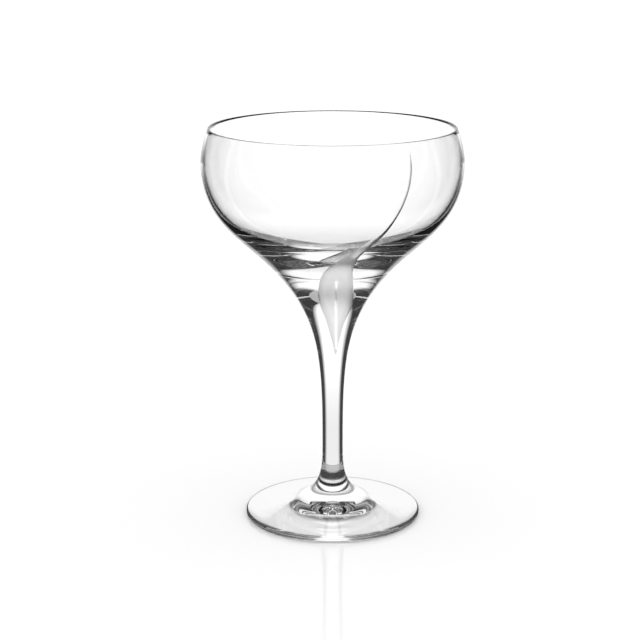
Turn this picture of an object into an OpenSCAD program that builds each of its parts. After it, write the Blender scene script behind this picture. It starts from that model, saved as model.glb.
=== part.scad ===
// Coupe glass in clear crystal: a blown bowl, a drawn solid stem and a pressed foot, fire welded
// face to face. A satin leaf is ground into the front of the stem, and its stalk runs on up the
// bowl as one tapering cut. The table is z = 0, and the leaf faces -Y.

/* [Bowl] */
// Height of the whole glass
glass_h = 160; // [145:1:175]
// Height of the bowl, from the weld under it to the rim
bowl_h = 72; // [66:1:80]
// Outside diameter of the rim
rim_d = 98; // [92:0.5:102]
// Thickness of the wall at the rim
rim_wall = 1.2; // [0.9:0.1:1.6]
// How far the wall leans in at the rim, in degrees
rim_lean = 22; // [15:1:26]
// Outside diameter of the belly, where the bowl is widest
belly_d = 103.8; // [103:0.2:108]
// Drop from the rim to the belly
belly_drop = 13; // [10:0.5:16]
// Thickness of the wall at the belly
belly_wall = 1.4; // [1.1:0.1:1.9]
// Thickness of the solid glass from the weld up to the lowest point inside
bowl_base = 21.5; // [19:0.5:25]

/* [Stem] */
// Diameter of the stem at the weld under the bowl
neck_d = 25.4; // [22:0.2:28]
// How far the side leans out at that weld, in degrees
neck_lean = 28; // [22:1:32]
// Diameter of the stem at its waist, where it is thinnest
waist_d = 8.4; // [7:0.1:10]
// Height of the waist over the table
waist_z = 32.5; // [28:0.5:40]
// Diameter of the stem at the weld on the foot
heel_d = 18.8; // [16:0.2:22]
// How far the side leans out at that weld, in degrees
heel_lean = 46; // [36:1:50]

/* [Foot] */
// Diameter of the foot
foot_d = 71.4; // [66:0.2:78]
// Thickness of the foot at its edge
foot_edge = 2.2; // [1.8:0.1:2.8]
// Radius of the rounding above and below that edge
edge_round = 0.85; // [0.3:0.05:0.85]
// Height of the foot at the weld to the stem
foot_h = 9.8; // [8:0.1:11]
// Width of the ring that the foot stands on
ring_w = 3; // [2:0.1:5]
// Height of the hollow under the foot
hollow_h = 3.4; // [1.5:0.1:4]

/* [Leaf] */
// Width of the leaf at its broadest
leaf_w = 14; // [11:0.5:16]
// Drop from the weld under the bowl to the leaf's lower tip
leaf_drop = 19; // [14:0.5:24]
// Gap between the rim and the end of the stalk
stalk_gap = 3; // [2:0.5:12]
// Depth of the cut
leaf_depth = 0.5; // [0.3:0.05:0.6]
// Width of the vein cut down the middle of the leaf
vein_w = 0.9; // [0.4:0.1:1.2]
// Depth of the vein below the leaf
vein_depth = 0.15; // [0.1:0.05:0.4]

/* [Hidden] */
$fn = 96;

// Steps along one bend of an outline, and between two points of the leaf
bend_steps = 14;
leaf_steps = 2;
// How far cutters run past what they cut
over = 2;

rim_r = rim_d / 2;
belly_r = belly_d / 2;
neck_r = neck_d / 2;
waist_r = waist_d / 2;
heel_r = heel_d / 2;
foot_r = foot_d / 2;
neck_z = glass_h - bowl_h;
belly_z = glass_h - belly_drop;
well_z = neck_z + bowl_base;
lip_r = rim_wall / 2;
soft_r = foot_r - edge_round;
lip_z = glass_h - lip_r;
lip_mid_r = rim_r - lip_r;

// How far each end of a bend runs straight on, as a share of the height that it covers
heel_share = 0.23;
waist_down_share = 0.51;
waist_up_share = 0.49;
neck_down_share = 0.25;
neck_up_share = 0.475;
belly_down_share = 0.51;
belly_up_share = 0.08;
rim_share = 0.46;
// The same for the inside of the bowl: the well as a share of its radius, the belly of its height
well_share = 0.4;
belly_in_share = 0.8;
// The foot's top and hollow, as shares of their widths
foot_in_share = 0.27;
foot_out_share = 0.78;
hollow_in_share = 0.26;
hollow_out_share = 0.66;
// Fall of the foot's top at its edge and of the hollow at the ring, in degrees
foot_fall = 5;
foot_top_fall = 26;
hollow_fall = 1.5;

// A bend from a to d that starts towards b and arrives from c, without its first point
function bend_at(a, b, c, d, t) =
    pow(1 - t, 3) * a + 3 * pow(1 - t, 2) * t * b + 3 * (1 - t) * pow(t, 2) * c + pow(t, 3) * d;
function bend(a, b, c, d) = [for (i = [1:bend_steps]) bend_at(a, b, c, d, i / bend_steps)];
// A round end about [r, z] from angle a to angle b, without its first point
function round_end(r, z, rad, a, b) =
    [for (i = [1:bend_steps]) let (t = a + (b - a) * i / bend_steps) [r + rad * cos(t), z + rad * sin(t)]];

// The outside of the stem and the bowl, each as [radius, height] from the bottom up
heel_rise = (waist_z - foot_h) * heel_share;
waist_fall = (waist_z - foot_h) * waist_down_share;
waist_rise = (neck_z - waist_z) * waist_up_share;
neck_fall = (neck_z - waist_z) * neck_down_share;
neck_rise = (belly_z - neck_z) * neck_up_share;
belly_fall = (belly_z - neck_z) * belly_down_share;
belly_rise = (lip_z - belly_z) * belly_up_share;
rim_fall = (lip_z - belly_z) * rim_share;

// Where the round lip meets the outside and the inside of the leaning wall
rim_out = [lip_mid_r + lip_r * cos(rim_lean), lip_z + lip_r * sin(rim_lean)];
rim_in = [lip_mid_r - lip_r * cos(rim_lean), lip_z - lip_r * sin(rim_lean)];

stem_side = concat(
    [[heel_r, foot_h]],
    bend([heel_r, foot_h], [heel_r - heel_rise * tan(heel_lean), foot_h + heel_rise],
         [waist_r, waist_z - waist_fall], [waist_r, waist_z]),
    bend([waist_r, waist_z], [waist_r, waist_z + waist_rise],
         [neck_r - neck_fall * tan(neck_lean), neck_z - neck_fall], [neck_r, neck_z]));
bowl_side = concat(
    [[neck_r, neck_z]],
    bend([neck_r, neck_z], [neck_r + neck_rise * tan(neck_lean), neck_z + neck_rise],
         [belly_r, belly_z - belly_fall], [belly_r, belly_z]),
    bend([belly_r, belly_z], [belly_r, belly_z + belly_rise],
         rim_out + [rim_fall * tan(rim_lean), -rim_fall], rim_out));

// The inside of the bowl, from the rim down to the well
belly_in_r = belly_r - belly_wall;
bowl_inside = concat(
    bend(rim_in, rim_in + [rim_fall * tan(rim_lean), -rim_fall],
         [belly_in_r, belly_z + belly_rise], [belly_in_r, belly_z]),
    bend([belly_in_r, belly_z], [belly_in_r, belly_z - (belly_z - well_z) * belly_in_share],
         [belly_in_r * well_share, well_z], [0, well_z]));

// The foot, from the hollow's middle out along the table and back over the top
ring_in_r = soft_r - ring_w;
top_w = soft_r - heel_r;
foot_outline = concat(
    [[0, foot_h], [0, hollow_h]],
    bend([0, hollow_h], [ring_in_r * hollow_in_share, hollow_h],
         [ring_in_r * (1 - hollow_out_share), ring_in_r * hollow_out_share * tan(hollow_fall)],
         [ring_in_r, 0]),
    [[soft_r, 0]],
    round_end(soft_r, edge_round, edge_round, -90, 0),
    round_end(soft_r, foot_edge - edge_round, edge_round, 0, 90),
    bend([soft_r, foot_edge],
         [soft_r - top_w * foot_out_share, foot_edge + top_w * foot_out_share * tan(foot_fall)],
         [heel_r + top_w * foot_in_share, foot_h - top_w * foot_in_share * tan(foot_top_fall)],
         [heel_r, foot_h]));

// The leaf seen from the front: across as shares of its width, up as shares of its length, from
// the lower tip up the left edge and the stalk, and back down the right edge
leaf_z = neck_z - leaf_drop;
leaf_l = glass_h - stalk_gap - leaf_z;
leaf_left_shares = [
    [0.09, 0], [-0.03, 0.073], [-0.2, 0.178], [-0.31, 0.23], [-0.4, 0.3], [-0.4, 0.35],
    [-0.32, 0.417], [-0.165, 0.46], [0.05, 0.495], [0.48, 0.552], [0.905, 0.605], [1.27, 0.655],
    [1.475, 0.69], [1.683, 0.74], [1.83, 0.785], [1.955, 0.84], [2.018, 0.89], [2.04, 0.943]];
leaf_right_shares = [
    [2.03, 1], [2.083, 0.943], [2.073, 0.89], [2.012, 0.835], [1.89, 0.78], [1.738, 0.73],
    [1.546, 0.68], [1.35, 0.638], [0.965, 0.575], [0.78, 0.543], [0.62, 0.5], [0.56, 0.456],
    [0.57, 0.397], [0.59, 0.32], [0.55, 0.25], [0.45, 0.205], [0.315, 0.148], [0.2, 0.072]];
vein_shares = [[0.115, 0.03], [0.105, 0.1], [0.1, 0.2], [0.1, 0.3], [0.105, 0.39]];

// A smooth curve through a list of points: leaf_steps points from each one on to the next
function through(p, q, r, s, t) =
    q + (r - p) * t / 2 + (2 * p - 5 * q + 4 * r - s) * pow(t, 2) / 2
    + (3 * q - p - 3 * r + s) * pow(t, 3) / 2;
function smooth_loop(points) = let (n = len(points))
    [for (i = [0:n - 1], k = [0:leaf_steps - 1])
        through(points[(i + n - 1) % n], points[i], points[(i + 1) % n], points[(i + 2) % n],
                k / leaf_steps)];
function on_leaf(share) = [share.x * leaf_w, leaf_z + share.y * leaf_l];
leaf_outline = smooth_loop([for (share = concat(leaf_left_shares, leaf_right_shares)) on_leaf(share)]);
vein_line = [for (share = vein_shares) on_leaf(share)];
vein_outline = concat(
    [for (i = [1:len(vein_line) - 1]) vein_line[i] - [vein_w / 2, 0]],
    [for (i = [len(vein_line) - 1:-1:1]) vein_line[i] + [vein_w / 2, 0]], [vein_line[0]]);

// A skin of the stem and the bowl that reaches depth into the glass
module skin(depth) {
    side = concat(stem_side, [for (i = [1:len(bowl_side) - 1]) bowl_side[i]]);
    last = len(side) - 1;
    rotate_extrude()
        polygon(concat([for (p = side) [p.x - depth, p.y]],
                       [for (i = [last:-1:0]) [side[i].x + over, side[i].y]]));
}

// A front view of the leaf or its vein, run back to the axis
module from_front(outline) {
    rotate([90, 0, 0]) linear_extrude(height = belly_r + over) polygon(outline);
}

module leaf_cut() {
    intersection() { from_front(leaf_outline); skin(leaf_depth); }
    intersection() { from_front(vein_outline); skin(leaf_depth + vein_depth); }
}

module bowl() {
    color([0.93, 0.95, 0.96, 0.5]) difference() {
        rotate_extrude() polygon(concat([[0, neck_z]], bowl_side,
                                        round_end(lip_mid_r, lip_z, lip_r, rim_lean, 90),
                                        round_end(lip_mid_r, lip_z, lip_r, 90, 180 + rim_lean),
                                        bowl_inside));
        leaf_cut();
    }
}

module stem() {
    color([0.9, 0.93, 0.95, 0.6]) difference() {
        rotate_extrude() polygon(concat([[0, foot_h]], stem_side, [[0, neck_z]]));
        leaf_cut();
    }
}

module foot() {
    color([0.93, 0.95, 0.96, 0.5]) rotate_extrude() polygon(foot_outline);
}

bowl();
stem();
foot();
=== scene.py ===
import bpy
import bmesh
import math
from bisect import bisect
from mathutils import Matrix, Vector
from mathutils.kdtree import KDTree


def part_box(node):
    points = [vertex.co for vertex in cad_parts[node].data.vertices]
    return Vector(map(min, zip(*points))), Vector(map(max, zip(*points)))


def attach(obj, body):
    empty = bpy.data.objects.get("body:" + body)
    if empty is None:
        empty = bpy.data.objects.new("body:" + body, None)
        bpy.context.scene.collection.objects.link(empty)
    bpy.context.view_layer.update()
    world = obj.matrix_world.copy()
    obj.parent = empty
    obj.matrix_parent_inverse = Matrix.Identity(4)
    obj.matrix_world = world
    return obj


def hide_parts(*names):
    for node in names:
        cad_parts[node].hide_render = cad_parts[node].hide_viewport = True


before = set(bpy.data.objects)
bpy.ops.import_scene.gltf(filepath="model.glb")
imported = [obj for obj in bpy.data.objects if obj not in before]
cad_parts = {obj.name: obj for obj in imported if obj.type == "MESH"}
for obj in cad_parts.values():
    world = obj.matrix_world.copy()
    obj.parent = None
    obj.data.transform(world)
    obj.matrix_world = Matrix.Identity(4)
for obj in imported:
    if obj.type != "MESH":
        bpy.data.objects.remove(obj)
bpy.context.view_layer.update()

# Shapes are worked out in millimetres and degrees, and turned to metres when a piece is finished.
# A pull is how far a bend runs straight on from its end, as a share of the height it covers.
mm = 0.001
touch = 1e-3  # two places closer than this are one
joinWithin = 1e-4  # spun points closer than this become one
upright = 0.999  # a face whose normal stands up more than this is flat
turnSteps = 352  # faces round the axis, a multiple of the sectors
sectors = 8
slots = {"clear": 0, "weld": 1, "ground": 2}  # the material slots of every piece

# Heights and radii that the frame gives
bowlBox = [Vector(c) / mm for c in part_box("bowl")]
stemBox = [Vector(c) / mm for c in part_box("stem")]
footBox = [Vector(c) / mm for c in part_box("foot")]
glassTop = bowlBox[1].z
neckZ = bowlBox[0].z
heelZ = stemBox[0].z
bellyR = -bowlBox[0].x
footR = footBox[1].x

# The two flat welds where the gathers meet: radius, and how far the side leans out there
weldSet = {"neckR": 12.7, "neckLean": 28, "heelR": 9.4, "heelLean": 46}


def lean(degrees):
    return math.tan(math.radians(degrees))


def bend(a, b, c, d, steps):
    # from a towards b and in from c to d, without the first point
    out = []
    for i in range(1, steps + 1):
        t = i / steps
        s = 1 - t
        out.append(tuple(
            s ** 3 * a[k] + 3 * s * s * t * b[k] + 3 * s * t * t * c[k] + t ** 3 * d[k]
            for k in (0, 1)))
    return out


def roundEnd(r, z, radius, start, end, steps):
    # an arc from one angle to the other, without its first point
    angles = [math.radians(start + (end - start) * i / steps) for i in range(1, steps + 1)]
    return [(r + radius * math.cos(a), z + radius * math.sin(a)) for a in angles]


def spunMesh(points):
    # turns an outline of [radius, height] about the axis: one sector is spun, then doubled until
    # the turn is full
    bm = bmesh.new()
    verts = [bm.verts.new((r, 0, z)) for r, z in points]
    edges = [bm.edges.new(pair) for pair in zip(verts, verts[1:])]
    bmesh.ops.spin(bm, geom=verts + edges, cent=(0, 0, 0), axis=(0, 0, 1), dvec=(0, 0, 0),
                   angle=math.tau / sectors, steps=turnSteps // sectors, use_merge=False,
                   use_duplicate=False)
    share = sectors
    while share > 1:
        copy = bmesh.ops.duplicate(bm, geom=bm.verts[:] + bm.edges[:] + bm.faces[:])["geom"]
        bmesh.ops.rotate(bm, cent=(0, 0, 0), matrix=Matrix.Rotation(math.tau / share, 3, "Z"),
                         verts=[v for v in copy if isinstance(v, bmesh.types.BMVert)])
        share //= 2
    bmesh.ops.remove_doubles(bm, verts=bm.verts, dist=joinWithin)
    bmesh.ops.recalc_face_normals(bm, faces=bm.faces)
    return bm


def markWelds(bm, heights):
    # the flat faces where two gathers meet, which let light straight through
    for face in bm.faces:
        z = face.calc_center_median().z
        if abs(face.normal.z) > upright and any(abs(z - height) < touch for height in heights):
            face.material_index = slots["weld"]


# The drawn stem, solid, thinnest at its waist
stemSet = {
    "waistR": 4.2, "waistZ": 32.5, "waistUp": 0.49, "waistDown": 0.51,
    "neckDown": 0.25, "heelUp": 0.23, "lowerSteps": 34, "upperSteps": 70,
}


def stemSide(lowerSteps, upperSteps):
    s = stemSet
    heel = (weldSet["heelR"], heelZ)
    waist = (s["waistR"], s["waistZ"])
    neck = (weldSet["neckR"], neckZ)
    low = waist[1] - heelZ
    high = neckZ - waist[1]
    heelUp = low * s["heelUp"]
    neckDown = high * s["neckDown"]
    lower = bend(
        heel, (heel[0] - heelUp * lean(weldSet["heelLean"]), heelZ + heelUp),
        (waist[0], waist[1] - low * s["waistDown"]), waist, lowerSteps)
    upper = bend(
        waist, (waist[0], waist[1] + high * s["waistUp"]),
        (neck[0] - neckDown * lean(weldSet["neckLean"]), neckZ - neckDown), neck, upperSteps)
    return [heel] + lower + upper


# The blown bowl, thin at the rim and solid below its well
bowlSet = {
    "rimR": 49.0, "rimWall": 1.2, "rimLean": 22, "rimPull": 0.46,
    "bellyDrop": 13.0, "bellyWall": 1.4, "bellyDown": 0.51, "bellyUp": 0.08,
    "base": 21.5, "wellPull": 0.4, "bellyIn": 0.8, "neckUp": 0.475,
    "sideSteps": 78, "rimSteps": 12, "lipSteps": 5, "insideSteps": 50,
}
bellyZ = glassTop - bowlSet["bellyDrop"]
wellZ = neckZ + bowlSet["base"]
lipR = bowlSet["rimWall"] / 2  # the lip's own rounding
lipZ = glassTop - lipR
lipMiddle = bowlSet["rimR"] - lipR


def rimEnd(way):
    # where the round lip meets the outside (1) or the inside (-1) of the leaning wall
    turn = math.radians(bowlSet["rimLean"])
    return (lipMiddle + way * lipR * math.cos(turn), lipZ + way * lipR * math.sin(turn))


def bowlSide(sideSteps, rimSteps):
    s = bowlSet
    neck, belly, rim = (weldSet["neckR"], neckZ), (bellyR, bellyZ), rimEnd(1)
    high = bellyZ - neckZ
    top = lipZ - bellyZ
    neckUp = high * s["neckUp"]
    rimDown = top * s["rimPull"]
    lower = bend(
        neck, (neck[0] + neckUp * lean(weldSet["neckLean"]), neckZ + neckUp),
        (bellyR, bellyZ - high * s["bellyDown"]), belly, sideSteps)
    upper = bend(
        belly, (bellyR, bellyZ + top * s["bellyUp"]),
        (rim[0] + rimDown * lean(s["rimLean"]), rim[1] - rimDown), rim, rimSteps)
    return [neck] + lower + upper


def bowlLip():
    # from the outside over the top to the inside
    s = bowlSet
    outer = roundEnd(lipMiddle, lipZ, lipR, s["rimLean"], 90, s["lipSteps"])
    inner = roundEnd(lipMiddle, lipZ, lipR, 90, 180 + s["rimLean"], s["lipSteps"])
    return outer + inner


def bowlInside():
    s = bowlSet
    rim, belly = rimEnd(-1), (bellyR - s["bellyWall"], bellyZ)
    top = lipZ - bellyZ
    rimDown = top * s["rimPull"]
    upper = bend(
        rim, (rim[0] + rimDown * lean(s["rimLean"]), rim[1] - rimDown),
        (belly[0], bellyZ + top * s["bellyUp"]), belly, s["rimSteps"])
    lower = bend(
        belly, (belly[0], bellyZ - (bellyZ - wellZ) * s["bellyIn"]),
        (belly[0] * s["wellPull"], wellZ), (0, wellZ), s["insideSteps"])
    return upper + lower


# The pressed foot, hollow below and standing on a flat ring
footSet = {
    "edge": 2.2, "edgeRound": 0.85, "ring": 3.0, "hollow": 3.4,
    "innerPull": 0.27, "outerPull": 0.78, "innerFall": 26, "outerFall": 5,
    "hollowIn": 0.26, "hollowOut": 0.66, "hollowFall": 1.5,
    "topSteps": 32, "edgeSteps": 6, "hollowSteps": 32,
}


def footOutline():
    s = footSet
    soft = s["edgeRound"]
    edgeR = footR - soft
    ringIn = edgeR - s["ring"]
    heelR = weldSet["heelR"]
    inner = (edgeR - heelR) * s["innerPull"]
    outer = (edgeR - heelR) * s["outerPull"]
    hollowOut = ringIn * s["hollowOut"]
    middle = (0, s["hollow"])
    hollow = bend(
        middle, (ringIn * s["hollowIn"], s["hollow"]),
        (ringIn - hollowOut, hollowOut * lean(s["hollowFall"])), (ringIn, 0), s["hollowSteps"])
    edgeLow = roundEnd(edgeR, soft, soft, -90, 0, s["edgeSteps"])
    edgeHigh = roundEnd(edgeR, s["edge"] - soft, soft, 0, 90, s["edgeSteps"])
    top = bend(
        (edgeR, s["edge"]), (edgeR - outer, s["edge"] + outer * lean(s["outerFall"])),
        (heelR + inner, heelZ - inner * lean(s["innerFall"])), (heelR, heelZ), s["topSteps"])
    return [middle] + hollow + [(edgeR, 0)] + edgeLow + edgeHigh + top


# A dense table of the outside, stem and bowl, that puts points and normals on it exactly
denseSteps = {"heel": 600, "neck": 1200, "bowl": 1600, "rim": 400}
side = (stemSide(denseSteps["heel"], denseSteps["neck"])
        + bowlSide(denseSteps["bowl"], denseSteps["rim"])[1:])
sideHeights = [z for r, z in side]


def sideAt(z):
    # radius and slope of the outside at one height
    i = min(max(bisect(sideHeights, z), 1), len(side) - 1)
    (lowR, lowZ), (highR, highZ) = side[i - 1], side[i]
    slope = (highR - lowR) / (highZ - lowZ)
    return lowR + slope * (z - lowZ), slope


# The leaf seen from the front: across as shares of its width, up as shares of its length, from
# the lower tip up the left edge and the stalk, and back down the right edge
leafSet = {
    "width": 14.0, "drop": 19.0, "stalkGap": 3.0, "depth": 0.5, "slope": 1.1,
    "edge": [
        (0.09, 0), (-0.03, 0.073), (-0.2, 0.178), (-0.31, 0.23), (-0.4, 0.3), (-0.4, 0.35),
        (-0.32, 0.417), (-0.165, 0.46), (0.05, 0.495), (0.48, 0.552), (0.905, 0.605),
        (1.27, 0.655), (1.475, 0.69), (1.683, 0.74), (1.83, 0.785), (1.955, 0.84),
        (2.018, 0.89), (2.04, 0.943), (2.03, 1), (2.083, 0.943), (2.073, 0.89),
        (2.012, 0.835), (1.89, 0.78), (1.738, 0.73), (1.546, 0.68), (1.35, 0.638),
        (0.965, 0.575), (0.78, 0.543), (0.62, 0.5), (0.56, 0.456), (0.57, 0.397),
        (0.59, 0.32), (0.55, 0.25), (0.45, 0.205), (0.315, 0.148), (0.2, 0.072)],
    "vein": [(0.115, 0.03), (0.105, 0.1), (0.1, 0.2), (0.1, 0.3), (0.105, 0.39)],
    "veinWidth": 0.9, "veinDepth": 0.15, "curveSteps": 40,
    # the mesh: shortest edge, how it grows away from the cut, how far the fine mesh reaches, and
    # how far off the outside a point may lie and still count as on it
    "fine": 0.18, "band": 0.3, "grow": 0.35, "inner": 0.5, "outer": 3.0, "rounds": 5,
    "slack": 0.02,
    # the reach square to the edge holds while it is this share of the plain distance, which
    # isn't so past a tip
    "square": 0.9,
    # the grind: it starts just inside the edge and is thinned towards the middle, a painted
    # shade that leaves the leaf darker near its edges. The stalk turns polished between two
    # heights, and a weaker grind comes back towards its end.
    "satinFrom": 0.02, "satinTo": 0.2, "middle": 2.6, "middleShadeLift": 0.45,
    "polishLow": 113.0, "polishHigh": 129.0, "tailSatin": 0.4,
}
leafLow = neckZ - leafSet["drop"]


def smoothCurve(shares, closed):
    # a curve through every point of a list of shares, in millimetres
    points = [(x * leafSet["width"], leafLow + y * (glassTop - leafSet["stalkGap"] - leafLow))
              for x, y in shares]
    n = len(points)
    out = []
    for i in range(n if closed else n - 1):
        p, q, r, s = (points[(i + k) % n if closed else min(max(i + k, 0), n - 1)]
                      for k in (-1, 0, 1, 2))
        for j in range(leafSet["curveSteps"]):
            t = j / leafSet["curveSteps"]
            out.append(tuple(
                q[k] + (r[k] - p[k]) * t / 2 + (2 * p[k] - 5 * q[k] + 4 * r[k] - s[k]) * t * t / 2
                + (3 * q[k] - p[k] - 3 * r[k] + s[k]) * t ** 3 / 2 for k in (0, 1)))
    return out


def nearestOf(points):
    # finds the nearest of the points to any place
    tree = KDTree(len(points))
    for i, (x, z) in enumerate(points):
        tree.insert((x, z, 0), i)
    tree.balance()
    return tree


leafEdge = smoothCurve(leafSet["edge"], True)
edgeTree = nearestOf(leafEdge)
veinTree = nearestOf(smoothCurve(leafSet["vein"], False))


def insideLeaf(x, z):
    # how far a point seen from the front is inside the leaf's edge, negative outside it
    spot, i, away = edgeTree.find((x, z, 0))
    (px, pz), (nx, nz) = leafEdge[i - 1], leafEdge[(i + 1) % len(leafEdge)]
    dx, dz = nx - px, nz - pz
    reach = ((x - spot.x) * dz - (z - spot.y) * dx) / math.hypot(dx, dz)
    return reach if abs(reach) > leafSet["square"] * away else math.copysign(away, reach)


def fromVein(x, z):
    return veinTree.find((x, z, 0))[2]


def cutDepth(x, z):
    # falls in from the edge and levels out, with the vein cut down the middle
    s = leafSet
    fall = insideLeaf(x, z) * s["slope"]
    if fall <= 0:
        return 0
    floor = fall / math.hypot(1, fall / s["depth"])
    return floor + s["veinDepth"] * max(0, 1 - fromVein(x, z) / (s["veinWidth"] / 2))


def satinAt(x, z):
    # how strongly the wheel has ground the glass, from 0 to 1, made stronger towards the leaf's
    # edges as painted shade
    s = leafSet
    reach = insideLeaf(x, z)
    inward = min(max((reach - s["satinFrom"]) / (s["satinTo"] - s["satinFrom"]), 0), 1)
    upward = (z - s["polishLow"]) / (s["polishHigh"] - s["polishLow"])
    along = min(max(1 - upward, 0), 1) + min(max(upward - 1, 0) / 2, s["tailSatin"])
    # painted shade: the grind thins towards the middle, so the leaf shows darker near its edges
    edgeShade = 1 - s["middleShadeLift"] * min(reach / s["middle"], 1)
    return inward * along * edgeShade * min(fromVein(x, z) / s["veinWidth"], 1)


def meshStep(x, z):
    # the longest edge wanted at a point, in millimetres
    s = leafSet
    reach = insideLeaf(x, z)
    if reach > 0:
        near = min(reach, fromVein(x, z))
        return min(s["fine"] + s["grow"] * max(0, near - s["band"]), s["inner"])
    return s["fine"] + s["grow"] * max(0, -reach - s["band"])


def onSide(vert):
    gap = abs(vert.co.xy.length - sideAt(vert.co.z)[0])
    return vert.co.y < 0 and gap < leafSet["slack"]


def cutLeaf(bm):
    # refines the front of a spun piece round the leaf and sinks the leaf into it
    s = leafSet
    ground = slots["ground"]

    def leafArea():
        return [f for f in bm.faces if f.material_index == ground]

    for face in bm.faces:
        c = face.calc_center_median()
        if (face.material_index == slots["clear"] and c.y < 0 and c.z > leafLow - s["outer"]
                and insideLeaf(c.x, c.z) > -s["outer"] and all(onSide(v) for v in face.verts)):
            face.material_index = ground
    bmesh.ops.triangulate(bm, faces=leafArea())
    for again in range(s["rounds"]):
        long = []
        for edge in bm.edges:
            if not any(f.material_index == ground for f in edge.link_faces):
                continue
            length = edge.calc_length()
            middle = (edge.verts[0].co + edge.verts[1].co) / 2
            if length > s["fine"] and length > meshStep(middle.x, middle.z):
                long.append(edge)
        if not long:
            break
        for item in bmesh.ops.subdivide_edges(bm, edges=long, cuts=1)["geom_inner"]:
            if isinstance(item, bmesh.types.BMVert):
                item.co.xy *= sideAt(item.co.z)[0] / item.co.xy.length
        bmesh.ops.triangulate(bm, faces=[f for f in leafArea() if len(f.verts) > 3])
    bmesh.ops.triangulate(bm, faces=[f for f in bm.faces if len(f.verts) > 4])

    # the grind on each point, raised towards the leaf's edges as painted shade
    satin = bm.verts.layers.float.new("satin")
    sunk = set()
    for vert in bm.verts:
        if not any(f.material_index == ground for f in vert.link_faces):
            continue
        x, z = vert.co.x, vert.co.z
        depth = cutDepth(x, z)
        if depth > 0:
            radius, slope = sideAt(z)
            # the point moves level, so further than the depth where the wall leans
            vert.co.xy *= 1 - depth * math.hypot(1, slope) / radius
            vert[satin] = satinAt(x, z)
            sunk.add(vert)
    for face in leafArea():
        if not any(v in sunk for v in face.verts):
            face.material_index = slots["clear"]
    print("leaf cut,", len(sunk), "points sunk")


def finishPiece(bm, name, materials, node):
    # sharp edges round the welds, and exact normals on the outside so that no weld shows
    for edge in bm.edges:
        if len({f.material_index == slots["weld"] for f in edge.link_faces}) == 2:
            edge.smooth = False
    normals = [(0, 0, 0)] * len(bm.verts)
    bm.verts.index_update()
    for vert in bm.verts:
        radius, slope = sideAt(vert.co.z)
        reach = vert.co.xy.length
        if abs(reach - radius) < touch and heelZ - touch < vert.co.z < lipZ:
            outward = Vector((vert.co.x / reach, vert.co.y / reach, -slope))
            normals[vert.index] = outward.normalized()
    bmesh.ops.scale(bm, vec=(mm, mm, mm), verts=bm.verts)
    for face in bm.faces:
        face.smooth = True
    mesh = bpy.data.meshes.new(name)
    bm.to_mesh(mesh)
    bm.free()
    if node != "foot":
        corners = []
        for face in mesh.polygons:
            flat = face.material_index == slots["weld"]
            corners += [face.normal if flat else normals[v] for v in face.vertices]
        mesh.normals_split_custom_set(corners)
    piece = bpy.data.objects.new(name, mesh)
    bpy.context.scene.collection.objects.link(piece)
    for material in materials:
        mesh.materials.append(material)
    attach(piece, "root")
    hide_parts(node)
    print(name, "made,", len(mesh.loops) - 2 * len(mesh.polygons), "triangles")


def addNode(tree, kind, inputs=None, **settings):
    # a node with its settings, and each input either linked or given a value
    node = tree.nodes.new(kind)
    for key, value in settings.items():
        setattr(node, key, value)
    for key, value in (inputs or {}).items():
        if isinstance(value, bpy.types.NodeSocket):
            tree.links.new(value, node.inputs[key])
        else:
            node.inputs[key].default_value = value
    return node


def linear(hexColour):
    # an sRGB hex colour as the linear colour that sockets take
    out = []
    for k in (0, 2, 4):
        c = int(hexColour[k:k + 2], 16) / 255
        out.append(c / 12.92 if c <= 0.04045 else ((c + 0.055) / 1.055) ** 2.4)
    return (*out, 1.0)


def newMaterial(name):
    material = bpy.data.materials.new(name)
    material.use_nodes = True
    material.node_tree.nodes.clear()
    return material, material.node_tree


# Waves and grit in millimetres. The real grit is about a third of this, too fine to show.
crystalSet = {
    "colour": "FFFFFF", "ior": 1.53, "wave": 25.0, "waveDetail": 1.0, "waveBump": 0.02,
    "grit": 0.11, "gritDetail": 2.0, "gritBump": 0.3, "gritHeight": 0.04,
    "groundRoughness": 0.42, "groundFull": 0.5, "powder": "909090", "powderShare": 0.45,
}


def firePolishedCrystal():
    # Lead-free crystal, blown, drawn or pressed and then fire polished: clear, colourless and
    # bright, with the faint slow waves of hand-worked glass
    s = crystalSet
    material, tree = newMaterial("firePolishedCrystal")
    place = addNode(tree, "ShaderNodeTexCoord")
    waves = addNode(tree, "ShaderNodeTexNoise", {
        "Vector": place.outputs["Object"], "Scale": 1 / (s["wave"] * mm),
        "Detail": s["waveDetail"]})
    bump = addNode(tree, "ShaderNodeBump", {
        "Height": waves.outputs["Fac"], "Strength": s["waveBump"], "Distance": mm})
    glass = addNode(tree, "ShaderNodeBsdfPrincipled", {
        "Base Color": linear(s["colour"]), "Roughness": 0.0, "IOR": s["ior"],
        "Transmission Weight": 1.0, "Normal": bump.outputs["Normal"]})
    addNode(tree, "ShaderNodeOutputMaterial", {"Surface": glass.outputs["BSDF"]})
    return material


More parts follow.
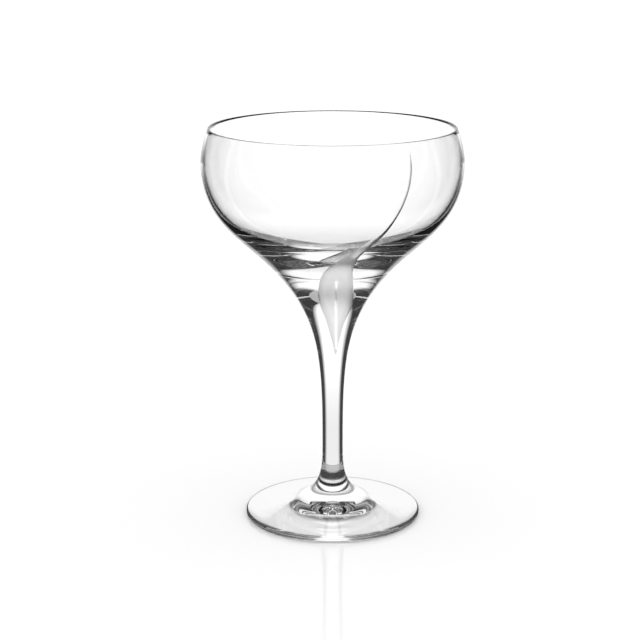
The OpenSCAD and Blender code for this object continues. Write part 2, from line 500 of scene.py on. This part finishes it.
def wheelGroundCrystal():
    # The same crystal cut with a wheel and left satin: it blurs what lies behind it and goes
    # pale grey, with a fine sparkle of grit. The attribute fades it to polished glass, and its
    # painted shade makes it greyer towards the leaf's edges.
    s = crystalSet
    material, tree = newMaterial("wheelGroundCrystal")
    place = addNode(tree, "ShaderNodeTexCoord")
    grit = addNode(tree, "ShaderNodeTexNoise", {
        "Vector": place.outputs["Object"], "Scale": 1 / (s["grit"] * mm),
        "Detail": s["gritDetail"]})
    bump = addNode(tree, "ShaderNodeBump", {
        "Height": grit.outputs["Fac"], "Strength": s["gritBump"],
        "Distance": s["gritHeight"] * mm})
    satin = addNode(tree, "ShaderNodeAttribute", attribute_name="satin")
    rough = addNode(tree, "ShaderNodeMapRange", {
        "Value": satin.outputs["Fac"], "From Max": s["groundFull"], "To Min": 0.0,
        "To Max": s["groundRoughness"]})
    glass = addNode(tree, "ShaderNodeBsdfPrincipled", {
        "Base Color": linear(s["colour"]), "Roughness": rough.outputs[0], "IOR": s["ior"],
        "Transmission Weight": 1.0, "Normal": bump.outputs["Normal"]})
    powder = addNode(tree, "ShaderNodeBsdfDiffuse", {"Color": linear(s["powder"])})
    share = addNode(tree, "ShaderNodeMapRange", {
        "Value": satin.outputs["Fac"], "To Min": 0.0, "To Max": s["powderShare"]})
    mix = addNode(tree, "ShaderNodeMixShader", {
        0: share.outputs[0], 1: glass.outputs["BSDF"], 2: powder.outputs["BSDF"]})
    addNode(tree, "ShaderNodeOutputMaterial", {"Surface": mix.outputs["Shader"]})
    return material


def fusedWeld():
    # Crystal fused to crystal while hot: nothing shows, so light goes straight through
    material, tree = newMaterial("fusedWeld")
    clear = addNode(tree, "ShaderNodeBsdfTransparent")
    addNode(tree, "ShaderNodeOutputMaterial", {"Surface": clear.outputs["BSDF"]})
    return material


def blownBowl(materials):
    s = bowlSet
    outside = bowlSide(s["sideSteps"], s["rimSteps"])
    bm = spunMesh([(0, neckZ)] + outside + bowlLip() + bowlInside())
    markWelds(bm, [neckZ])
    cutLeaf(bm)
    finishPiece(bm, "blownBowl", materials, "bowl")


def drawnStem(materials):
    s = stemSet
    outside = stemSide(s["lowerSteps"], s["upperSteps"])
    bm = spunMesh([(0, heelZ)] + outside + [(0, neckZ)])
    markWelds(bm, [neckZ, heelZ])
    cutLeaf(bm)
    finishPiece(bm, "drawnStem", materials, "stem")


def pressedFoot(materials):
    bm = spunMesh(footOutline() + [(0, heelZ)])
    markWelds(bm, [heelZ])
    finishPiece(bm, "pressedFoot", materials[:2], "foot")  # no leaf reaches the foot


glassMaterials = [firePolishedCrystal(), fusedWeld(), wheelGroundCrystal()]
blownBowl(glassMaterials)
drawnStem(glassMaterials)
pressedFoot(glassMaterials)

# The camera of the photograph: metres, degrees, and pixels of the 640 pixel frame
cameraSet = {
    "distance": 0.6492, "height": 0.2528, "pitch": 14.757, "focalPx": 1664.8,
    "framePx": 640, "axisPx": 332.6, "sensor": 36.0,
}


def makeCamera():
    s = cameraSet
    data = bpy.data.cameras.new("camera")
    data.sensor_width = s["sensor"]
    data.lens = s["focalPx"] / s["framePx"] * s["sensor"]
    data.shift_x = (s["framePx"] / 2 - s["axisPx"]) / s["framePx"]
    camera = bpy.data.objects.new("camera", data)
    camera.location = (0, -s["distance"], s["height"])
    camera.rotation_euler = (math.radians(90 - s["pitch"]), 0, 0)
    bpy.context.scene.collection.objects.link(camera)
    bpy.context.scene.camera = camera
    print("camera placed")
    return camera


# A glossy white table, in metres. What the glass shows of it is a glow with painted shadow,
# darker below the foot's middle and past its edge, where little light gets in, and painted shade
# that makes it weaker after more bounces inside the glass.
tableSet = {
    "size": 14.0, "drop": 0.00005, "colour": "FFFFFF", "roughness": 0.05, "ior": 1.36,
    "level": 0.92, "under": 0.1, "underIn": 0.01, "underOut": 0.018,
    "outside": 0.04, "edgeIn": 0.0352, "edgeOut": 0.0362, "bounces": 2.5, "weak": 0.5,
}


def whiteTable():
    # White lacquered board, sprayed and polished: a soft, weak mirror
    s = tableSet
    material, tree = newMaterial("whiteTable")
    path = addNode(tree, "ShaderNodeLightPath")
    lacquer = addNode(tree, "ShaderNodeBsdfPrincipled", {
        "Base Color": linear(s["colour"]), "Roughness": s["roughness"], "IOR": s["ior"]})
    place = addNode(tree, "ShaderNodeTexCoord")
    reach = addNode(tree, "ShaderNodeVectorMath", {0: place.outputs["Object"]},
                    operation="LENGTH")
    # painted shadow: the glow the glass sees is dim under the foot's middle and past its edge
    middle = addNode(tree, "ShaderNodeMapRange", {
        "Value": reach.outputs["Value"], "From Min": s["underIn"], "From Max": s["underOut"],
        "To Min": s["under"], "To Max": s["level"]}, interpolation_type="SMOOTHSTEP")
    edge = addNode(tree, "ShaderNodeMapRange", {
        "Value": reach.outputs["Value"], "From Min": s["edgeIn"], "From Max": s["edgeOut"],
        "To Min": 1.0, "To Max": s["outside"]}, interpolation_type="SMOOTHSTEP")
    # painted shade: the glow the glass sees is weaker after more bounces
    late = addNode(tree, "ShaderNodeMath", {0: path.outputs["Ray Depth"], 1: s["bounces"]},
                   operation="GREATER_THAN")
    fading = addNode(tree, "ShaderNodeMapRange", {
        "Value": late.outputs[0], "To Min": 1.0, "To Max": s["weak"]})
    spread = addNode(tree, "ShaderNodeMath", {0: middle.outputs[0], 1: edge.outputs[0]},
                     operation="MULTIPLY")
    lit = addNode(tree, "ShaderNodeMath", {0: spread.outputs[0], 1: fading.outputs[0]},
                  operation="MULTIPLY")
    plain = addNode(tree, "ShaderNodeEmission", {"Strength": lit.outputs[0]})
    seen = addNode(tree, "ShaderNodeMath", {
        0: path.outputs["Is Glossy Ray"], 1: path.outputs["Is Transmission Ray"]},
        operation="MAXIMUM")
    mix = addNode(tree, "ShaderNodeMixShader", {
        0: seen.outputs[0], 1: lacquer.outputs["BSDF"], 2: plain.outputs["Emission"]})
    addNode(tree, "ShaderNodeOutputMaterial", {"Surface": mix.outputs["Shader"]})
    material.cycles.emission_sampling = "NONE"
    return material


def makeTable():
    bm = bmesh.new()
    bmesh.ops.create_grid(bm, x_segments=2, y_segments=2, size=tableSet["size"] / 2)
    mesh = bpy.data.meshes.new("table")
    bm.to_mesh(mesh)
    bm.free()
    mesh.materials.append(whiteTable())
    table = bpy.data.objects.new("table", mesh)
    table.location.z = -tableSet["drop"]
    bpy.context.scene.collection.objects.link(table)
    print("table laid")


# Round cards about the glass, in metres and degrees, white behind it and black at the sides. Open
# is half the white part and closed is where the grey front starts. Light bent by the glass meets
# the near lights, and what shines off its outside meets the far ones.
cardSet = {
    "outline": [(0.038, 0.0004), (0.7, 0.14), (0.7, 1.4)], "steps": 96,
    "open": 30.0, "closed": 130.0, "dark": 0.045, "front": 0.12,
    "lowZ": 0.01, "highZ": 0.03, "strip": 80.0, "stripHalf": 3.0, "topSoft": 0.1,
}
nearLights = {"soft": 7.0, "low": 0.92, "back": 1.2, "stripLevel": 0.8, "top": 1.5}
farLights = {"soft": 4.0, "low": 1.0, "back": 1.0, "stripLevel": 0.0, "top": 0.9}


def cardBoard(name, lights):
    # Matt card, printed in greys: bright from inside and clear from outside
    s = cardSet
    whiteIn, whiteOut, greyIn, greyOut = (
        math.radians(middle + way * lights["soft"])
        for middle in (s["open"], s["closed"]) for way in (-1, 1))
    material, tree = newMaterial(name)
    place = addNode(tree, "ShaderNodeTexCoord")
    split = addNode(tree, "ShaderNodeSeparateXYZ", {0: place.outputs["Object"]})
    angle = addNode(tree, "ShaderNodeMath", {0: split.outputs["X"], 1: split.outputs["Y"]},
                    operation="ARCTAN2")
    away = addNode(tree, "ShaderNodeMath", {0: angle.outputs[0]}, operation="ABSOLUTE")
    panel = addNode(tree, "ShaderNodeMapRange", {
        "Value": split.outputs["Z"], "From Min": s["lowZ"], "From Max": s["highZ"],
        "To Min": lights["low"], "To Max": lights["back"]})
    back = addNode(tree, "ShaderNodeMapRange", {
        "Value": away.outputs[0], "From Min": whiteIn, "From Max": whiteOut,
        "To Min": panel.outputs[0], "To Max": 0.0})
    front = addNode(tree, "ShaderNodeMapRange", {
        "Value": away.outputs[0], "From Min": greyIn, "From Max": greyOut,
        "To Min": 0.0, "To Max": s["front"]})
    below = addNode(tree, "ShaderNodeMapRange", {
        "Value": split.outputs["Z"], "From Min": lights["top"] - s["topSoft"],
        "From Max": lights["top"] + s["topSoft"], "To Min": 1.0, "To Max": 0.0})
    strip = addNode(tree, "ShaderNodeMath", {
        0: away.outputs[0], 1: math.radians(s["strip"]), 2: math.radians(s["stripHalf"])},
        operation="COMPARE")
    slit = addNode(tree, "ShaderNodeMath", {0: strip.outputs[0], 1: lights["stripLevel"]},
                   operation="MULTIPLY")
    ends = addNode(tree, "ShaderNodeMath", {0: back.outputs[0], 1: front.outputs[0]},
                   operation="ADD")
    white = addNode(tree, "ShaderNodeMath", {0: ends.outputs[0], 1: slit.outputs[0]},
                    operation="ADD")
    lit = addNode(tree, "ShaderNodeMath", {0: white.outputs[0], 1: below.outputs[0]},
                  operation="MULTIPLY")
    level = addNode(tree, "ShaderNodeMath", {0: lit.outputs[0], 1: s["dark"]},
                    operation="MAXIMUM")
    glow = addNode(tree, "ShaderNodeEmission", {"Strength": level.outputs[0]})
    face = addNode(tree, "ShaderNodeNewGeometry")
    clear = addNode(tree, "ShaderNodeBsdfTransparent")
    mix = addNode(tree, "ShaderNodeMixShader", {
        0: face.outputs["Backfacing"], 1: glow.outputs["Emission"], 2: clear.outputs["BSDF"]})
    addNode(tree, "ShaderNodeOutputMaterial", {"Surface": mix.outputs["Shader"]})
    material.cycles.emission_sampling = "NONE"
    return material


def makeCards(name, lights, camera, glossy):
    # turned to face the camera, as a glass is turned before cards that stand still
    bm = bmesh.new()
    verts = [bm.verts.new((r, 0, z)) for r, z in cardSet["outline"]]
    edges = [bm.edges.new(pair) for pair in zip(verts, verts[1:])]
    bmesh.ops.spin(bm, geom=verts + edges, cent=(0, 0, 0), axis=(0, 0, 1), dvec=(0, 0, 0),
                   angle=math.tau, steps=cardSet["steps"], use_merge=True, use_duplicate=False)
    outward = [f for f in bm.faces if f.normal.xy.dot(f.calc_center_median().xy) > 0]
    bmesh.ops.reverse_faces(bm, faces=outward)
    mesh = bpy.data.meshes.new(name)
    bm.to_mesh(mesh)
    bm.free()
    mesh.materials.append(cardBoard(name, lights))
    cards = bpy.data.objects.new(name, mesh)
    bpy.context.scene.collection.objects.link(cards)
    cards.visible_camera = False
    cards.visible_diffuse = False
    cards.visible_shadow = False
    cards.visible_volume_scatter = False
    cards.visible_glossy = glossy
    cards.visible_transmission = not glossy
    turn = cards.constraints.new("LOCKED_TRACK")
    turn.target = camera
    turn.track_axis = "TRACK_NEGATIVE_Y"
    turn.lock_axis = "LOCK_Z"
    print(name, "stand")


# The white room, and what is left of it for light that comes through the glass
skySet = {"colour": "FFFFFF", "plain": 1.08, "through": 0.5}


def makeWorld():
    world = bpy.data.worlds.new("world")
    world.use_nodes = True
    tree = world.node_tree
    tree.nodes.clear()
    path = addNode(tree, "ShaderNodeLightPath")
    level = addNode(tree, "ShaderNodeMapRange", {
        "Value": path.outputs["Is Transmission Ray"], "To Min": skySet["plain"],
        "To Max": skySet["through"]})
    sky = addNode(tree, "ShaderNodeBackground", {
        "Color": linear(skySet["colour"]), "Strength": level.outputs[0]})
    addNode(tree, "ShaderNodeOutputWorld", {"Surface": sky.outputs["Background"]})
    bpy.context.scene.world = world
    print("world lit")


camera = makeCamera()
makeTable()
makeCards("nearCards", nearLights, camera, False)
makeCards("farCards", farLights, camera, True)
makeWorld()

# Thick glass bends light many times before it gets out
bounceSet = {"glass": 24, "glossy": 12}
scene = bpy.context.scene
scene.view_settings.view_transform = "Standard"
scene.cycles.max_bounces = bounceSet["glass"]
scene.cycles.transmission_bounces = bounceSet["glass"]
scene.cycles.transparent_max_bounces = bounceSet["glass"]
scene.cycles.glossy_bounces = bounceSet["glossy"]
